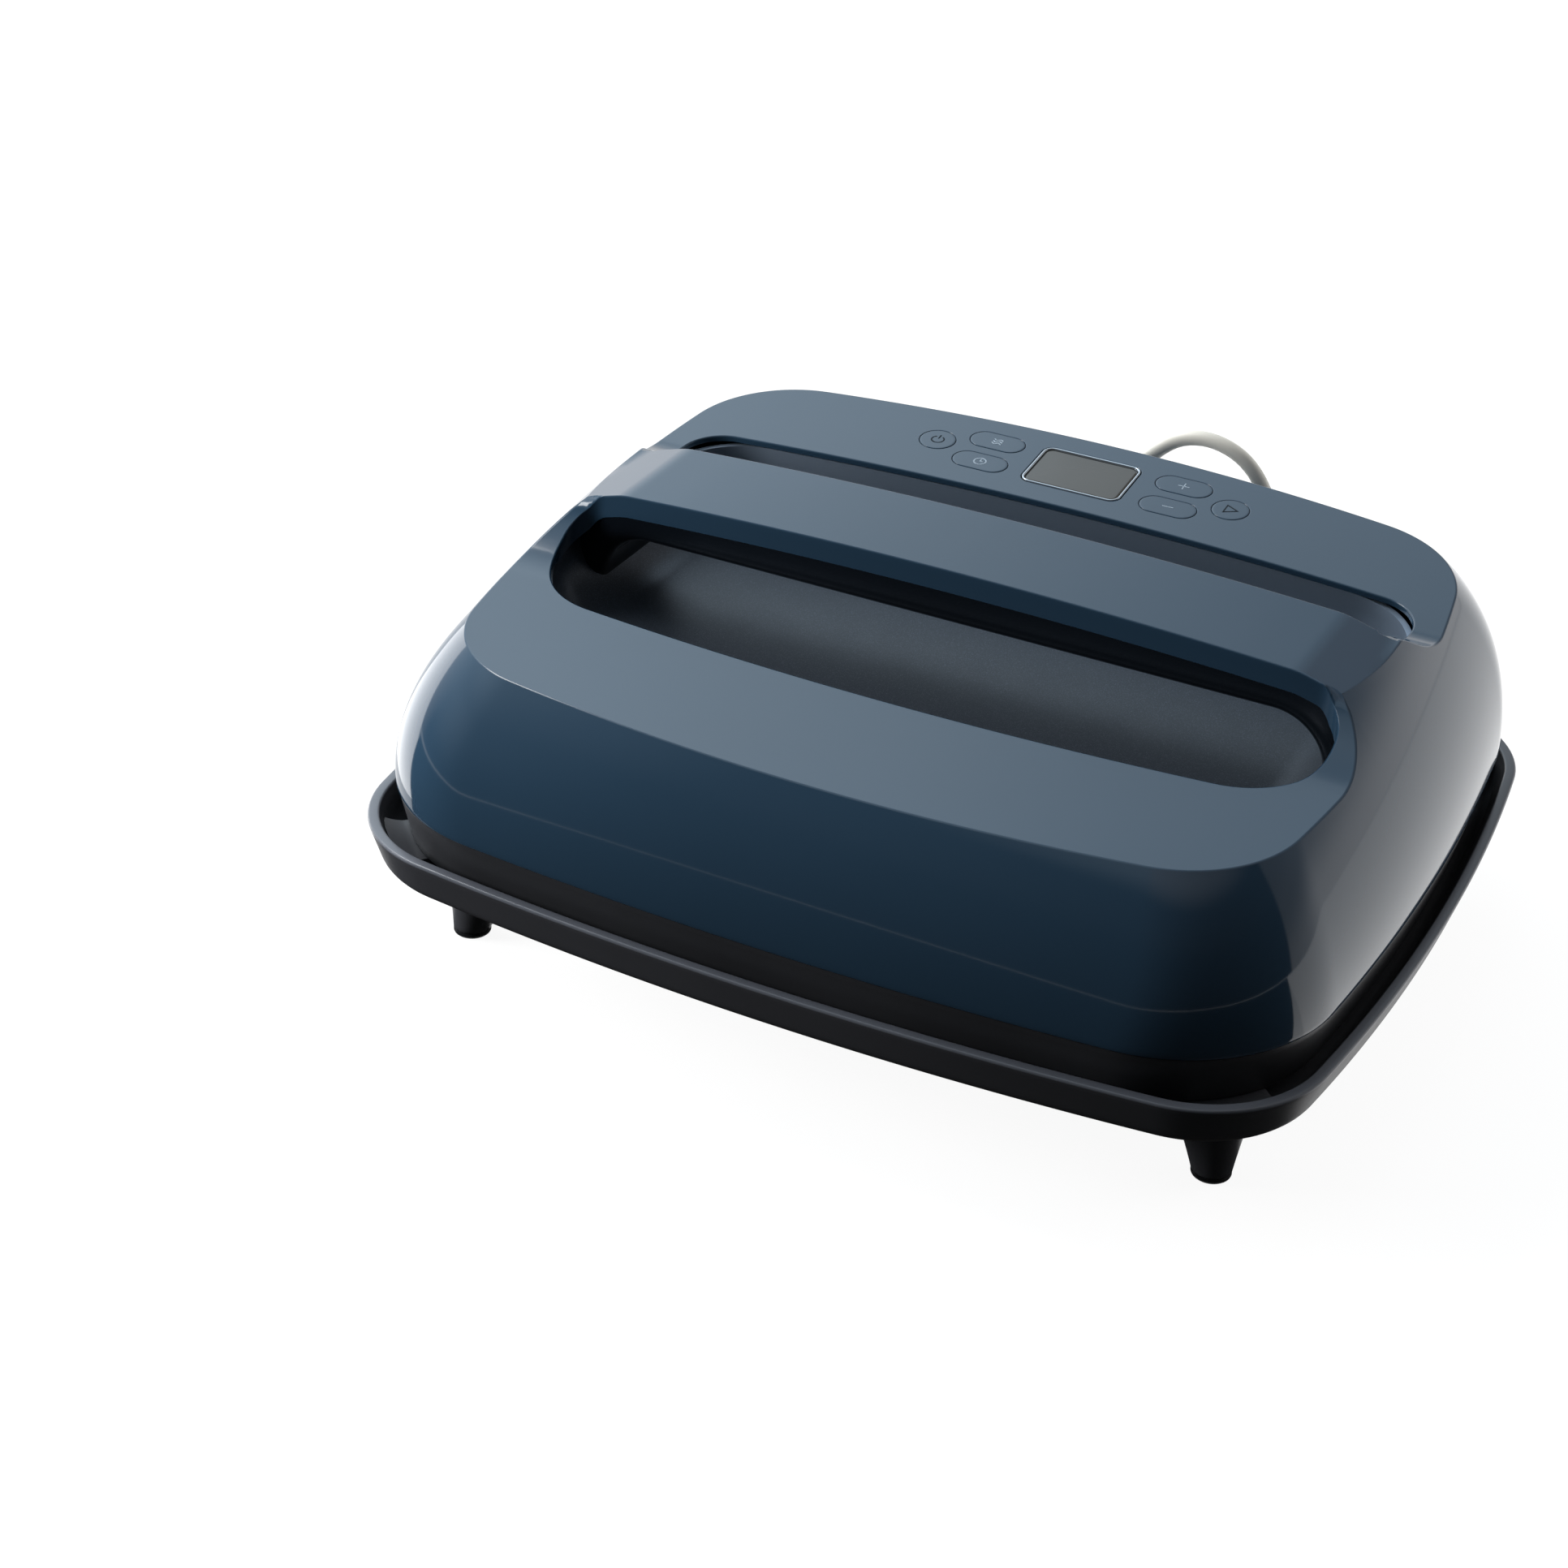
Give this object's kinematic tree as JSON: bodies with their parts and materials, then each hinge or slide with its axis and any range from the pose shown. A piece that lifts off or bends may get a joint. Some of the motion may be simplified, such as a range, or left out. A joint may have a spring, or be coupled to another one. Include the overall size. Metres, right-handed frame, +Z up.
{
  "type": "handheld heat press",
  "caption": "Flat-iron style craft heat press with a bridge handle, a dished hand well, a display and buttons, resting in its own footed heat-proof tray stand.",
  "frame": {"origin": "on the surface it stands on, under the middle of the tray stand", "axes": "+X to the right as the user faces the front, -Y to the front, +Z up"},
  "size_m": [0.3508, 0.3913, 0.1423],
  "materials": {
    "gloss_blue": "deep gloss moulding",
    "cover_blue": "satin gloss moulding",
    "well_blue": "satin moulding",
    "black": "fine matte moulding",
    "charcoal": "fine textured moulding",
    "rest_grey": "smooth moulding",
    "rubber_black": "matte",
    "plate": "coated",
    "liner": "rolled sheet",
    "steel": "plated",
    "element": "heat darkened",
    "board_fibre": "pressed fibre",
    "circuit_green": "solder mask",
    "part_black": "moulded case",
    "copper": "enamelled winding",
    "pad_grey": "silicone",
    "display": "display face",
    "bezel": "polished edge",
    "clear": "clear",
    "cord_grey": "smooth",
    "tie_black": "hook and loop",
    "brass": "plated"
  },
  "bodies": {
    "stand": {"base_tray": "charcoal", "tray_liner": "liner", "foot_screws": "steel", "corner_rest_front_left": "rest_grey", "corner_rest_front_right": "rest_grey", "corner_rest_rear_left": "rest_grey", "corner_rest_rear_right": "rest_grey", "base_foot_front_left": "charcoal", "base_foot_front_right": "charcoal", "base_foot_rear_left": "charcoal", "base_foot_rear_right": "charcoal", "foot_pad_front_left": "rubber_black", "foot_pad_front_right": "rubber_black", "foot_pad_rear_left": "rubber_black", "foot_pad_rear_right": "rubber_black"},
    "press": {"base_band": "black", "heat_plate": "plate", "heating_element": "element", "insulation_board": "board_fibre", "heat_shield": "steel", "plate_screws": "steel", "shield_screws": "steel", "housing_screws": "steel", "thermal_cutoff": "part_black", "temperature_sensor": "brass", "power_board": "circuit_green", "relay": "part_black", "transformer": "copper", "capacitors": "part_black", "cord_clamp": "part_black", "skirt": "gloss_blue", "top_cover": "cover_blue", "handle_well": "well_blue", "handle_grip": "black", "handle_stiffener": "steel", "control_board": "circuit_green", "board_screws": "steel", "switch_pad": "pad_grey", "lcd_module": "display", "display_bezel": "bezel", "display_window": "clear", "buzzer": "part_black", "strain_relief": "cord_grey", "cord_run": "cord_grey", "cord_coil": "cord_grey", "cord_tail": "cord_grey", "coil_tie": "tie_black", "plug": "cord_grey", "plug_pins": "brass"},
    "power_button": {"power_button": "cover_blue"},
    "start_button": {"start_button": "cover_blue"},
    "temperature_button": {"temperature_button": "cover_blue"},
    "time_button": {"time_button": "cover_blue"},
    "plus_button": {"plus_button": "cover_blue"},
    "minus_button": {"minus_button": "cover_blue"}
  },
  "joints": [
    {"name": "press_lift", "type": "slide", "parent": "stand", "child": "press", "axis": [0, 0, 1], "range_m": [0, 0.05]},
    {"name": "power_press", "type": "slide", "parent": "press", "child": "power_button", "axis": [0, 0.1054, -0.9944], "range_m": [0, 0.0008], "stiffness_N_per_m": 300},
    {"name": "start_press", "type": "slide", "parent": "press", "child": "start_button", "axis": [0, 0.1054, -0.9944], "range_m": [0, 0.0008], "stiffness_N_per_m": 300},
    {"name": "temperature_press", "type": "slide", "parent": "press", "child": "temperature_button", "axis": [0, 0.1054, -0.9944], "range_m": [0, 0.0008], "stiffness_N_per_m": 300},
    {"name": "time_press", "type": "slide", "parent": "press", "child": "time_button", "axis": [0, 0.1054, -0.9944], "range_m": [0, 0.0008], "stiffness_N_per_m": 300},
    {"name": "plus_press", "type": "slide", "parent": "press", "child": "plus_button", "axis": [0, 0.1054, -0.9944], "range_m": [0, 0.0008], "stiffness_N_per_m": 300},
    {"name": "minus_press", "type": "slide", "parent": "press", "child": "minus_button", "axis": [0, 0.1054, -0.9944], "range_m": [0, 0.0008], "stiffness_N_per_m": 300}
  ]
}
